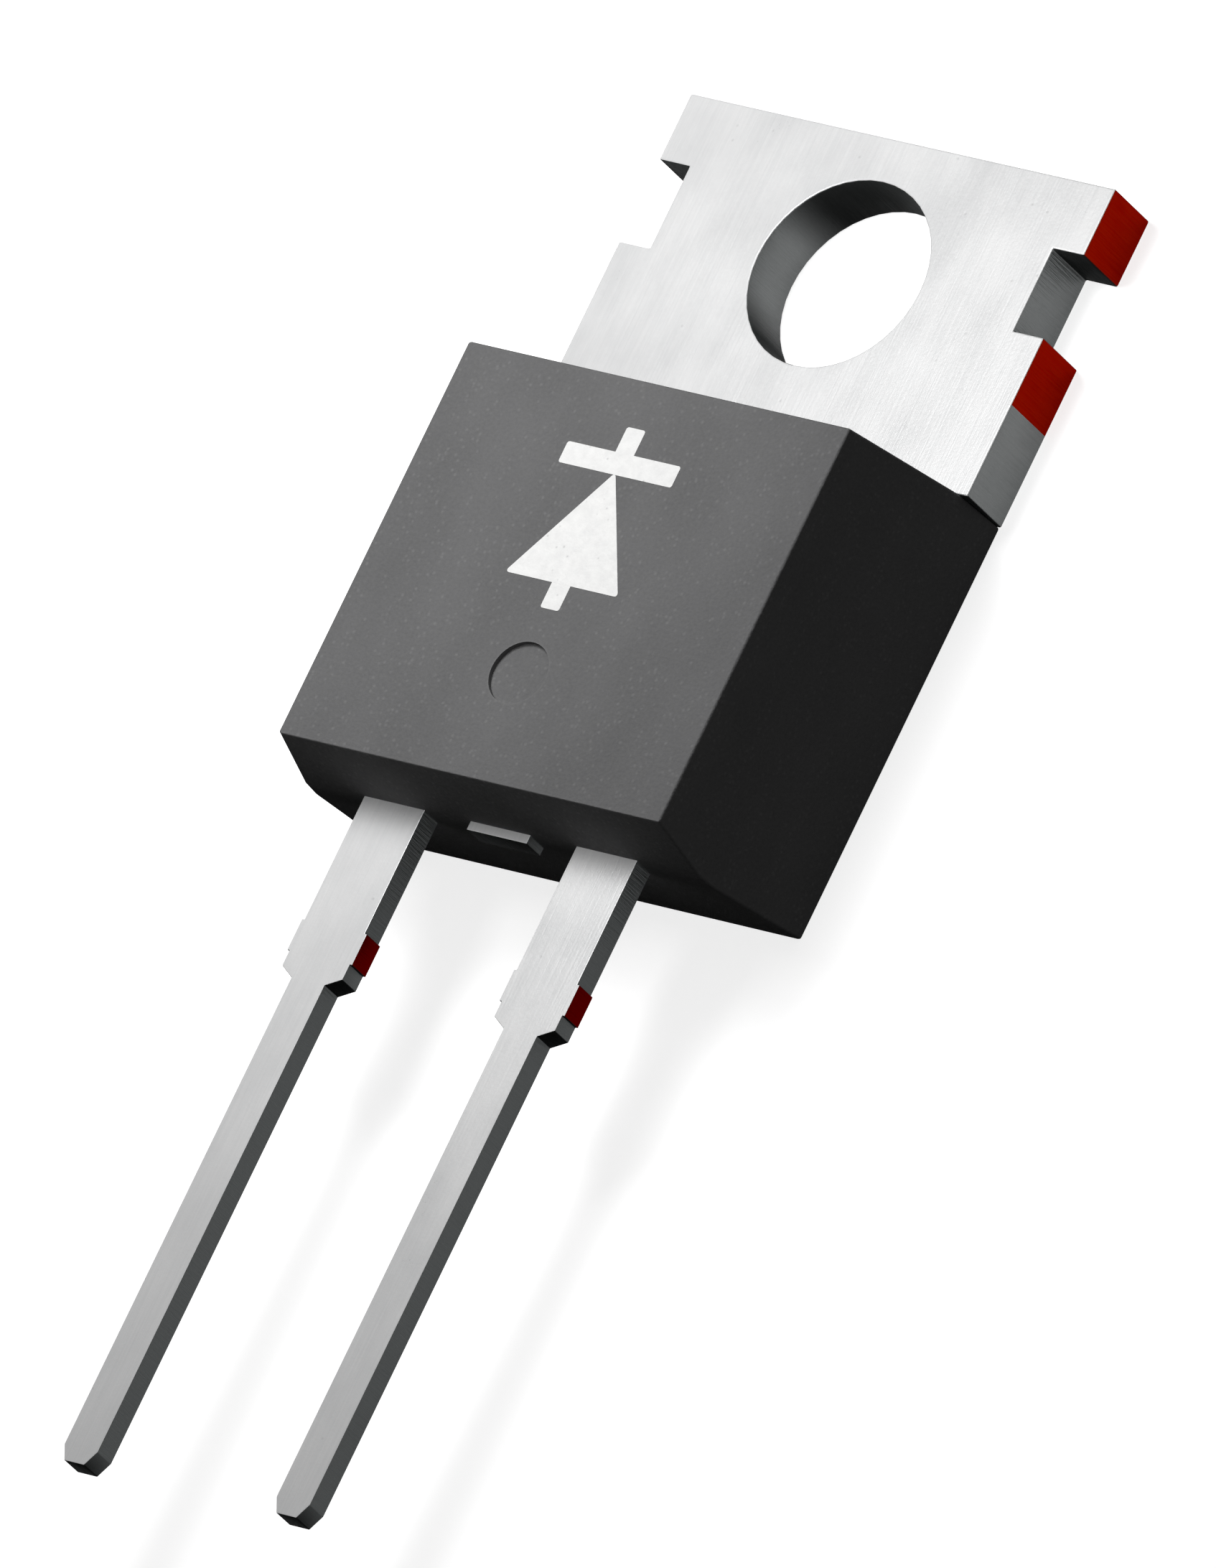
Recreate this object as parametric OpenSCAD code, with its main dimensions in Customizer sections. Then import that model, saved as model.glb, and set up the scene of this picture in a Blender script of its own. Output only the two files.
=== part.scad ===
// Schottky rectifier diode in a two-lead moulded power package, lying on the back of its tab.
// Origin: centre of the mounting hole, on the back face of the tab.
// +Y runs towards the tab's far edge, -Y along the leads, +Z out of the moulded face.
// The cathode lead, on the -X side, is one piece with the tab; the anode lead is on the +X side.

/* [Tab] */
// Width of the tab
tab_w = 10.16; // [9.6:0.01:11]
// Thickness of the tab and of the header that carries the chip
tab_t = 1.26; // [1:0.01:1.5]
// From the centre of the mounting hole to the tab's far edge
hole_to_edge = 2.79; // [2.4:0.01:3.4]
// From the centre of the mounting hole to the moulded body
hole_to_body = 3.65; // [3.2:0.01:4.6]
// Diameter of the mounting hole
hole_d = 3.84; // [3:0.01:4.2]
// From the tab's far edge to the side notches, all of it sheared
notch_start = 1.395; // [1:0.005:1.6]
// Length of a side notch along the tab
notch_l = 1.727; // [1.2:0.001:2]
// Depth of a side notch
notch_d = 0.733; // [0.3:0.001:0.9]
// Length of the sheared edge between a side notch and the plain edge
shear_l = 1.402; // [0.8:0.001:1.8]
// How far a sheared edge stands proud of the plain edge
shear_proud = 0.01; // [0.005:0.005:0.05]

/* [Body] */
// How far the tab stands out beyond the body's back edge on each side
tab_lip_w = 0.023; // [0.01:0.001:0.2]
// Height of the body above the back of the tab
body_h = 4.43; // [4.2:0.01:4.8]
// Length of the body from the tab end to the upright band at the lead end
body_l = 8.91; // [8.4:0.01:9.6]
// Draft of the two long sides, in degrees
side_draft = 6.5; // [3:0.1:9]
// Draft of the end over the tab, in degrees
tab_end_draft = 7; // [3:0.5:12]
// Draft of the lead end above its upright band, in degrees
lead_end_draft = 12; // [5:0.5:16]
// Draft of the lead end below its upright band, in degrees
back_end_draft = 7; // [3:0.5:10]
// Height of the upright band, which starts level with the underside of the leads
band_h = 0.44; // [0.3:0.01:0.6]
// Diameter of the ejector pin mark on the moulded face
pin_mark_d = 1.27; // [0.8:0.01:2]
// Depth of the ejector pin mark
pin_mark_depth = 0.1; // [0.05:0.01:0.2]
// From the lead end of the body to the centre of the ejector pin mark
pin_mark_from_end = 2.49; // [1.8:0.01:4]

/* [Leads] */
// Distance between the centre lines of the two leads
lead_pitch = 5.08; // [4.8:0.01:5.4]
// Thickness of the leads and of everything in their plane
lead_t = 0.49; // [0.38:0.01:0.6]
// Height of the underside of the leads above the back of the tab
lead_z = 2.5; // [2.3:0.01:2.7]
// Length of the leads outside the body
lead_l = 13.72; // [12:0.01:15]
// Width of the wide root of a lead
root_w = 1.45; // [1.2:0.01:1.7]
// Length of the wide root, from the body to the shoulder
root_l = 3.525; // [3.4:0.005:4.2]
// Length of the sloping shoulder between the root and the slim part
shoulder_l = 0.185; // [0.1:0.005:0.4]
// Width of the slim part of a lead
lead_w = 0.8; // [0.6:0.01:1]
// From the body to the stub of the dam bar
dam_start = 2.564; // [2.2:0.002:2.7]
// Length of the dam bar stub along the lead
dam_l = 0.647; // [0.4:0.001:0.68]
// How far the dam bar stub stands proud on each side
dam_proud = 0.055; // [0.02:0.005:0.15]
// Length of the chamfered tip
tip_l = 0.305; // [0.15:0.005:0.6]
// Width left at the end of the chamfered tip
tip_w = 0.472; // [0.3:0.002:0.58]
// Width of the cut-off middle lead
stub_w = 1.44; // [1.2:0.01:1.7]
// Length of the cut-off middle lead outside the body
stub_l = 0.165; // [0.1:0.005:0.4]

/* [Lead frame inside the body] */
// Width of the body's rim on each side of the header, on the back face
rim_w = 0.857; // [0.7:0.001:1.2]
// How far the locking ledge reaches out on each side of the header
ledge_w = 0.25; // [0.15:0.01:0.35]
// Height of the underside of the locking ledge above the back face
ledge_z = 0.6; // [0.4:0.01:0.8]
// From the tab end of the body to the sealing groove across the header
groove_start = 0.55; // [0.3:0.05:0.8]
// Width of the sealing groove at the header's surface
groove_w = 0.5; // [0.3:0.05:0.6]
// Depth of the sealing groove
groove_d = 0.25; // [0.1:0.05:0.4]
// Width of the neck between the header and the plane of the leads
neck_w = 2.4; // [2:0.05:2.8]
// Slope of the neck, in degrees
neck_angle = 60; // [50:1:75]
// Inside radius of the two bends in the neck
neck_bend_r = 0.2; // [0.1:0.01:0.3]
// Length of the level strip between the header and the neck's first bend
neck_flat = 0.1; // [0.05:0.01:0.3]
// Thickness of body between its lead end and the metal that is wider than a lead
bar_inset = 0.45; // [0.3:0.01:0.6]
// Width of the bar that joins the neck to the cathode lead
bar_w = 0.9; // [0.7:0.01:1.1]
// Clear gap between the neck and the anode's bond post
post_gap = 0.5; // [0.35:0.01:0.7]
// How far the bond post reaches out beyond its lead, away from the neck
post_ear = 0.6; // [0.3:0.01:0.8]
// Length of the bond post along the lead
post_l = 1.9; // [1.7:0.01:2.2]
// Radius of the bond post's two inner corners
post_corner_r = 0.3; // [0.1:0.01:0.5]

/* [Chip] */
// Side of the square chip
chip_w = 3; // [2.4:0.05:3.6]
// Thickness of the chip
chip_t = 0.3; // [0.2:0.01:0.4]
// Thickness of the solder between the chip and the header
solder_t = 0.06; // [0.03:0.01:0.1]
// How far the solder reaches out beyond the chip on each side
solder_rim = 0.12; // [0.05:0.01:0.2]
// From the chip to the header's edge at the neck
chip_setback = 0.9; // [0.4:0.05:1.4]

/* [Bond wires] */
// Diameter of a bond wire
wire_d = 0.38; // [0.25:0.01:0.45]
// Distance between the centre lines of the two wires
wire_pitch = 0.9; // [0.75:0.01:1.1]
// Length of a wire's flattened foot
foot_l = 0.9; // [0.7:0.01:1.1]
// Width of a wire's flattened foot
foot_w = 0.55; // [0.46:0.01:0.65]
// Height of a wire's flattened foot
foot_h = 0.22; // [0.15:0.01:0.3]
// Half of the angle that a wire turns through on its way over, in degrees
loop_angle = 32; // [24:1:38]

/* [Hidden] */

// Fineness of circles, and of the bends that are drawn point by point.
$fn = 72;
bend_steps = 10;

EPOXY = [0.25, 0.25, 0.26];
TIN = [0.86, 0.87, 0.88];
SILICON = [0.3, 0.33, 0.42];
SOLDER = [0.6, 0.61, 0.63];
ALUMINIUM = [0.93, 0.93, 0.95];

// Widths that follow from the tab: the body at its back face, and the header where it shows there.
body_w = tab_w - 2 * tab_lip_w;
header_w = body_w - 2 * rim_w;

// Places along the part, from the far edge of the tab to the tips of the leads.
notch_y = hole_to_edge - notch_start;
notch_end_y = notch_y - notch_l;
shear_end_y = notch_end_y - shear_l;
body_y = -hole_to_body;
end_y = body_y - body_l;
bar_y = end_y + bar_inset;
bar_back_y = bar_y + bar_w;

// Heights of the lead plane and of the band that the mould's two halves leave.
lead_top_z = lead_z + lead_t;
band_top_z = lead_z + band_h;

// The neck is a strip of the lead's thickness. It leaves the header level with the header's face
// and climbs to the plane of the leads, so its length sets where the header ends.
neck_r = neck_bend_r + lead_t / 2;
neck_rise = lead_top_z - tab_t;
neck_slope_l = (neck_rise - 2 * neck_r * (1 - cos(neck_angle))) / sin(neck_angle);
neck_run = neck_flat + 2 * neck_r * sin(neck_angle) + neck_slope_l * cos(neck_angle);
header_y = bar_back_y + neck_run;

// The bond post lies beside the neck, in the plane of the leads.
post_in_x = neck_w / 2 + post_gap;
post_out_x = (lead_pitch + root_w) / 2 + post_ear;

// The chip lies on the header, and the wires climb from its middle to the middle of the post.
chip_y = header_y + chip_setback + chip_w / 2;
chip_top_z = tab_t + solder_t + chip_t;
post_middle = [(post_in_x + post_out_x) / 2, bar_y + post_l / 2];
chip_middle = [0, chip_y];
wire_way = post_middle - chip_middle;
wire_heading = atan2(wire_way[1], wire_way[0]);

// A wire's centre line is one arc between the tops of its two feet.
foot_reach = (foot_l - foot_w) / 2;
wire_across = norm(wire_way) - 2 * foot_reach;
wire_up = lead_top_z - chip_top_z;
wire_slope = atan2(wire_up, wire_across);
wire_loop_r = norm([wire_across, wire_up]) / (2 * sin(loop_angle));

// Closed outline, counterclockwise, from the points of its +X half listed from the top down.
function both_halves(half) =
    concat([for (p = half) [-p[0], p[1]]], [for (i = [len(half) - 1 : -1 : 0]) half[i]]);

// Points of a bend in a side view, in even steps of its angle from straight up.
// A negative radius lays them on the other side of the centre.
function bend_points(centre, radius, from, to) =
    [for (i = [0 : bend_steps]) centre + radius * heading(from + (to - from) * i / bend_steps)];

function heading(angle) = [sin(angle), cos(angle)];

// Prism along X from an outline drawn in Y and Z, centred on X = 0.
module prism_along_x(length) {
    rotate([90, 0, 90]) linear_extrude(length, center = true) children();
}

// Prism along Y from an outline drawn in X and Z, centred on Y = 0.
module prism_along_y(length) {
    rotate([90, 0, 0]) linear_extrude(length, center = true) children();
}

// Arch of a wire that starts at the origin along +X and bends down by the angle.
module arch(radius, angle) {
    rotate([180, 0, 0])
        translate([0, 0, radius])
            rotate([90, 90, 0])
                rotate_extrude(angle = angle) translate([radius, 0]) children();
}

// Tab outside the body, with its side notches and sheared edges, and the header's exposed strip.
module tab_outline() {
    plain_x = tab_w / 2;
    sheared_x = plain_x + shear_proud;
    polygon(both_halves([
        [sheared_x, hole_to_edge],
        [sheared_x, notch_y],
        [plain_x - notch_d, notch_y],
        [plain_x - notch_d, notch_end_y],
        [sheared_x, notch_end_y],
        [sheared_x, shear_end_y],
        [plain_x, shear_end_y],
        [plain_x, body_y],
        [header_w / 2, body_y],
        [header_w / 2, header_y]
    ]));
}

// Groove across the header, which keeps moisture from creeping in between metal and body.
module sealing_groove() {
    translate([0, body_y - groove_start - groove_w / 2, tab_t])
        prism_along_x(2 * header_w)
            polygon(both_halves([[groove_w, groove_d], [0, -groove_d]]));
}

// Tab and header: one thick plate with the mounting hole and locking ledges along the header.
module tab_and_header() {
    ledge_x = header_w / 2 + ledge_w;
    difference() {
        union() {
            linear_extrude(tab_t) tab_outline();
            translate([0, 0, ledge_z])
                linear_extrude(tab_t - ledge_z)
                    polygon(both_halves([[ledge_x, body_y], [ledge_x, header_y]]));
        }
        translate([0, 0, -tab_t]) cylinder(d = hole_d, h = 3 * tab_t);
        sealing_groove();
    }
}

// Strip that starts inside the header, steps up to the plane of the leads and ends inside the bar.
module neck() {
    start_y = header_y + ledge_w;
    stop_y = bar_y + bar_w / 2;
    low_centre = [header_y - neck_flat, tab_t + neck_bend_r];
    high_centre = [bar_back_y, lead_z - neck_bend_r];
    outer_r = neck_bend_r + lead_t;
    prism_along_x(neck_w)
        polygon(concat(
            [[start_y, tab_t]],
            bend_points(low_centre, -neck_bend_r, 0, neck_angle),
            bend_points(high_centre, outer_r, neck_angle, 0),
            [[stop_y, lead_top_z], [stop_y, lead_z]],
            bend_points(high_centre, neck_bend_r, 0, neck_angle),
            bend_points(low_centre, -outer_r, neck_angle, 0),
            [[start_y, tab_t - lead_t]]
        ));
}

// One lead in plan, centred on X = 0, from the metal inside the body to the chamfered tip.
module lead_outline() {
    dam_y = end_y - dam_start;
    root_y = end_y - root_l;
    tip_y = end_y - lead_l;
    dam_x = root_w / 2 + dam_proud;
    polygon(both_halves([
        [root_w / 2, bar_y + bar_w / 2],
        [root_w / 2, dam_y],
        [dam_x, dam_y],
        [dam_x, dam_y - dam_l],
        [root_w / 2, dam_y - dam_l],
        [root_w / 2, root_y],
        [lead_w / 2, root_y - shoulder_l],
        [lead_w / 2, tip_y + tip_l],
        [tip_w / 2, tip_y]
    ]));
}

// Bar in plan that joins the neck to the cathode lead.
module bar_outline() {
    bar_out_x = -(lead_pitch + root_w) / 2;
    translate([bar_out_x, bar_y]) square([neck_w / 2 - bar_out_x, bar_w]);
}

// Bond post in plan, with its two inner corners rounded.
module post_outline() {
    post_w = post_out_x - post_in_x;
    translate([post_in_x, bar_y]) square([post_w, post_l - post_corner_r]);
    translate([post_in_x + post_corner_r, bar_y]) square([post_w - 2 * post_corner_r, post_l]);
    for (x = [post_in_x + post_corner_r, post_out_x - post_corner_r])
        translate([x, bar_y + post_l - post_corner_r]) circle(post_corner_r);
}

// Tab, header, neck, bar, cut-off middle lead and cathode lead, stamped and formed as one piece.
module cathode_frame() {
    color(TIN) {
        tab_and_header();
        neck();
        translate([0, 0, lead_z]) linear_extrude(lead_t) {
            bar_outline();
            translate([-lead_pitch / 2, 0]) lead_outline();
            translate([-stub_w / 2, end_y - stub_l]) square([stub_w, stub_l + bar_inset + bar_w / 2]);
        }
    }
}

module anode_lead() {
    color(TIN) translate([0, 0, lead_z]) linear_extrude(lead_t) {
        post_outline();
        translate([lead_pitch / 2, 0]) lead_outline();
    }
}

module schottky_die() {
    color(SILICON)
        translate([-chip_w / 2, chip_y - chip_w / 2, tab_t + solder_t]) cube([chip_w, chip_w, chip_t]);
}

// The solder wets the header a little beyond the chip, with round corners.
module die_solder() {
    wide_w = chip_w + 2 * solder_rim;
    color(SOLDER) translate([0, chip_y, tab_t]) linear_extrude(solder_t) {
        square([chip_w, wide_w], center = true);
        square([wide_w, chip_w], center = true);
        for (x = [-1, 1], y = [-1, 1]) translate([x, y] * chip_w / 2) circle(solder_rim);
    }
}

// Flattened end of a bond wire, centred on the origin and lying along X.
module wire_foot() {
    linear_extrude(foot_h) {
        square([2 * foot_reach, foot_w], center = true);
        for (x = [-foot_reach, foot_reach]) translate([x, 0]) circle(d = foot_w);
    }
}

// Bond wire from the chip to the post, offset sideways from the line between their middles.
module bond_wire(offset) {
    color(ALUMINIUM)
        translate([chip_middle[0], chip_middle[1], chip_top_z])
            rotate([0, 0, wire_heading])
                translate([0, offset, 0]) {
                    wire_foot();
                    translate([foot_reach, 0, foot_h])
                        rotate([0, -wire_slope - loop_angle, 0])
                            arch(wire_loop_r, 2 * loop_angle) circle(d = wire_d);
                    translate([norm(wire_way), 0, wire_up]) wire_foot();
                }
}

module bond_wire_1() {
    bond_wire(wire_pitch / 2);
}

module bond_wire_2() {
    bond_wire(-wire_pitch / 2);
}

// Outside form of the body: the end drafts seen from the side, cut by the side drafts seen from the end.
module body_form() {
    top_x = body_w / 2 - body_h * tan(side_draft);
    intersection() {
        prism_along_x(body_w)
            polygon([
                [body_y, 0],
                [body_y, tab_t],
                [body_y - (body_h - tab_t) * tan(tab_end_draft), body_h],
                [end_y + (body_h - band_top_z) * tan(lead_end_draft), body_h],
                [end_y, band_top_z],
                [end_y, lead_z],
                [end_y + lead_z * tan(back_end_draft), 0]
            ]);
        translate([0, (body_y + end_y) / 2, 0])
            prism_along_y(2 * body_l)
                polygon(both_halves([[top_x, body_h], [body_w / 2, 0]]));
    }
}

// The body is moulded round the finished assembly, so it fits every inner piece face to face.
module epoxy_body() {
    color(EPOXY) difference() {
        body_form();
        cathode_frame();
        anode_lead();
        die_solder();
        schottky_die();
        bond_wire_1();
        bond_wire_2();
        translate([0, end_y + pin_mark_from_end, body_h - pin_mark_depth])
            cylinder(d = pin_mark_d, h = 2 * pin_mark_depth);
    }
}

epoxy_body();
cathode_frame();
anode_lead();
schottky_die();
die_solder();
bond_wire_1();
bond_wire_2();
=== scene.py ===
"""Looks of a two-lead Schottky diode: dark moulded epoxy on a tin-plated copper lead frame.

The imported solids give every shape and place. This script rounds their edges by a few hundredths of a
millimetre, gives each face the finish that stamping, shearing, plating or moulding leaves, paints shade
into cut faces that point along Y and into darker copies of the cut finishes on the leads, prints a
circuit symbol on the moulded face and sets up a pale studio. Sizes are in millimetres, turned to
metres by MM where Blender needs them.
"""

import logging
import math
from dataclasses import dataclass
from enum import Enum
from typing import Any, Callable

import bmesh
import bpy
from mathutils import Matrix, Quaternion, Vector


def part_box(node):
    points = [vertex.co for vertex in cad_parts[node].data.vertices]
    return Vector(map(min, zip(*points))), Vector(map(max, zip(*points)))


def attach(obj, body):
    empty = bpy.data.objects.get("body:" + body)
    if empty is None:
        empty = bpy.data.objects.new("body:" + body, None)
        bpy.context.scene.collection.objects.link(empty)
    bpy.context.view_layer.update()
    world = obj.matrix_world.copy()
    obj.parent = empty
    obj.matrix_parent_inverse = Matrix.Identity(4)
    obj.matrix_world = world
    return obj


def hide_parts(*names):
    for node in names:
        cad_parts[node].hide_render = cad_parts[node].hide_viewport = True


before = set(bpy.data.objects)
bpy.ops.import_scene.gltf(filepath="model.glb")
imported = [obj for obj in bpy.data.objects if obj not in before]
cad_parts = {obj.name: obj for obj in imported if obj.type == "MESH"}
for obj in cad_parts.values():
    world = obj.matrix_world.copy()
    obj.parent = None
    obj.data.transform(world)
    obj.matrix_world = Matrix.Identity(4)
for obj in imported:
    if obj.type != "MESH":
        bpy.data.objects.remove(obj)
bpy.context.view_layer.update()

# A millimetre, and the distance within which vertices count as one, in metres.
MM = 0.001
WELD = 0.0005 * MM

# Angles between two faces, in degrees. Up to the first they are joined into one face, from the
# second on their edge is rounded, and up to the third they are shaded as one surface.
FLAT_WITHIN = 0.5
ROUND_ABOVE = 20.0
SMOOTH_BELOW = 50.0

ROOT = "root"
log = logging.getLogger("diode")

Colour = tuple[float, float, float]
Range = tuple[float, float]
WHITE = (1.0, 1.0, 1.0, 1.0)


class Finish(Enum):
    """The finishes that the faces of the stamped lead frame can have."""

    PLATED = "tin_plate"
    STAMPED = "stamped_edge"
    SHEARED = "sheared_copper"
    # Trimmed copper and slit edge are darker copies of sheared copper and stamped edge: painted shade on
    # the leads.
    TRIMMED = "trimmed_copper_painted_shade"
    SLIT = "slit_edge_painted_shade"


def opaque(colour: Colour) -> tuple[float, float, float, float]:
    """Returns the colour with full alpha, as a colour socket takes it."""
    return (*colour, 1.0)


class NodeBench:
    """Adds and links the nodes of one tree."""

    def __init__(self, tree: bpy.types.NodeTree) -> None:
        """Takes over an empty or partly built tree.

        Args:
            tree: The tree to work in.
        """
        self.tree = tree

    def add(self, kind: str, values: dict[Any, Any] | None = None, **settings: Any) -> bpy.types.Node:
        """Adds a node.

        Args:
            kind: Blender's name for the node's type.
            values: Input name or index to a value, or to an output socket to be linked to it.
            **settings: Properties of the node itself, such as its operation.

        Returns:
            The new node.
        """
        node = self.tree.nodes.new(kind)
        for name, setting in settings.items():
            setattr(node, name, setting)
        for name, value in (values or {}).items():
            if isinstance(value, bpy.types.NodeSocket):
                self.tree.links.new(value, node.inputs[name])
            else:
                node.inputs[name].default_value = value
        return node

    def math(
        self, operation: str, first: Any, second: Any = 0.0, clamp: bool = False
    ) -> bpy.types.NodeSocket:
        """Adds a Math node.

        Args:
            operation: The Math node's operation.
            first: First value or socket.
            second: Second value or socket, unused by one-sided operations.
            clamp: Whether the result is kept between 0 and 1.

        Returns:
            The socket with the result.
        """
        node = self.add("ShaderNodeMath", {0: first, 1: second}, operation=operation, use_clamp=clamp)
        return node.outputs[0]

    def mix_colour(self, factor: Any, first: Any, second: Any) -> bpy.types.NodeSocket:
        """Mixes two colours.

        Args:
            factor: 0 gives the first colour and 1 the second.
            first: First colour or socket.
            second: Second colour or socket.

        Returns:
            The socket with the mixed colour.
        """
        node = self.add("ShaderNodeMix", data_type="RGBA")
        for index, value in ((0, factor), (6, first), (7, second)):
            if isinstance(value, bpy.types.NodeSocket):
                self.tree.links.new(value, node.inputs[index])
            else:
                node.inputs[index].default_value = value
        return node.outputs[2]

    def spread(self, value: Any, low: Any, high: Any) -> bpy.types.NodeSocket:
        """Maps a 0 to 1 value to the range from low to high.

        Args:
            value: Value or socket.
            low: Result for a value of 0.
            high: Result for a value of 1.

        Returns:
            The socket with the result.
        """
        node = self.add("ShaderNodeMapRange", {"Value": value, "To Min": low, "To Max": high})
        return node.outputs["Result"]


def new_group(
    name: str, inputs: dict[str, tuple[str, Any]], outputs: dict[str, str]
) -> tuple[NodeBench, bpy.types.Node, bpy.types.Node]:
    """Starts a shader node group with named sockets.

    Args:
        name: Name of the group.
        inputs: Socket name to its type and default value.
        outputs: Socket name to its type.

    Returns:
        The bench for the group's tree, its input node and its output node.
    """
    tree = bpy.data.node_groups.new(name, "ShaderNodeTree")
    for socket, (kind, default) in inputs.items():
        tree.interface.new_socket(socket, in_out="INPUT", socket_type=kind).default_value = default
    for socket, kind in outputs.items():
        tree.interface.new_socket(socket, in_out="OUTPUT", socket_type=kind)
    bench = NodeBench(tree)
    return bench, bench.add("NodeGroupInput"), bench.add("NodeGroupOutput")


def grain_group() -> bpy.types.NodeTree:
    """Builds the noise that grain, rolling lines, striations and clouds share.

    Returns:
        A group that takes repeats per millimetre along each axis and puts out a 0 to 1 value.
    """
    bench, taken, given = new_group(
        "grain",
        {
            "Repeats": ("NodeSocketVector", (1.0, 1.0, 1.0)),
            "Detail": ("NodeSocketFloat", 3.0),
            "Contrast": ("NodeSocketFloat", 1.0),
        },
        {"Value": "NodeSocketFloat"},
    )
    place = bench.add("ShaderNodeTexCoord").outputs["Object"]
    in_mm = bench.add(
        "ShaderNodeVectorMath", {0: place, "Scale": 1.0 / MM}, operation="SCALE"
    ).outputs[0]
    spaced = bench.add(
        "ShaderNodeVectorMath", {0: in_mm, 1: taken.outputs["Repeats"]}, operation="MULTIPLY"
    )
    noise = bench.add(
        "ShaderNodeTexNoise",
        {"Vector": spaced.outputs[0], "Scale": 1.0, "Detail": taken.outputs["Detail"], "Roughness": 0.6},
    )
    centred = bench.math("SUBTRACT", noise.outputs[0], 0.5)
    stretched = bench.math("MULTIPLY", centred, taken.outputs["Contrast"])
    value = bench.math("MULTIPLY_ADD", stretched, 2.0, clamp=True)
    value.node.inputs[2].default_value = 0.5
    bench.tree.links.new(value, given.inputs["Value"])
    return bench.tree


def speck_group() -> bpy.types.NodeTree:
    """Builds the mask of scattered specks that filler grains, pits and pinholes share.

    Returns:
        A group that takes specks per millimetre, their size and the share of cells that hold one.
    """
    bench, taken, given = new_group(
        "specks",
        {
            "Repeats": ("NodeSocketFloat", 8.0),
            "Radius": ("NodeSocketFloat", 0.3),
            "Share": ("NodeSocketFloat", 0.3),
        },
        {"Mask": "NodeSocketFloat"},
    )
    place = bench.add("ShaderNodeTexCoord").outputs["Object"]
    scale = bench.math("DIVIDE", taken.outputs["Repeats"], MM)
    cells = bench.add("ShaderNodeTexVoronoi", {"Vector": place, "Scale": scale})
    near = bench.math("DIVIDE", cells.outputs["Distance"], taken.outputs["Radius"])
    disc = bench.math("SUBTRACT", 1.0, near, clamp=True)
    draw = bench.add("ShaderNodeSeparateColor", {0: cells.outputs["Color"]}).outputs[0]
    chosen = bench.math("LESS_THAN", draw, taken.outputs["Share"])
    bench.tree.links.new(bench.math("MULTIPLY", disc, chosen), given.inputs["Mask"])
    return bench.tree


def edge_group() -> bpy.types.NodeTree:
    """Builds the mask of rubbed edges, found by comparing the true normal with a rounded one.

    Returns:
        A group that takes the width of the rubbed strip and its strength and puts out a mask.
    """
    bench, taken, given = new_group(
        "rubbed_edge",
        {"Width": ("NodeSocketFloat", 0.1), "Gain": ("NodeSocketFloat", 3.0)},
        {"Mask": "NodeSocketFloat"},
    )
    radius = bench.math("MULTIPLY", taken.outputs["Width"], MM)
    rounded = bench.add("ShaderNodeBevel", {"Radius": radius}, samples=6).outputs[0]
    true_normal = bench.add("ShaderNodeNewGeometry").outputs["Normal"]
    agree = bench.add("ShaderNodeVectorMath", {0: rounded, 1: true_normal}, operation="DOT_PRODUCT")
    differ = bench.math("SUBTRACT", 1.0, agree.outputs["Value"], clamp=True)
    mask = bench.math("MULTIPLY", differ, taken.outputs["Gain"], clamp=True)
    bench.tree.links.new(mask, given.inputs["Mask"])
    return bench.tree


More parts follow.
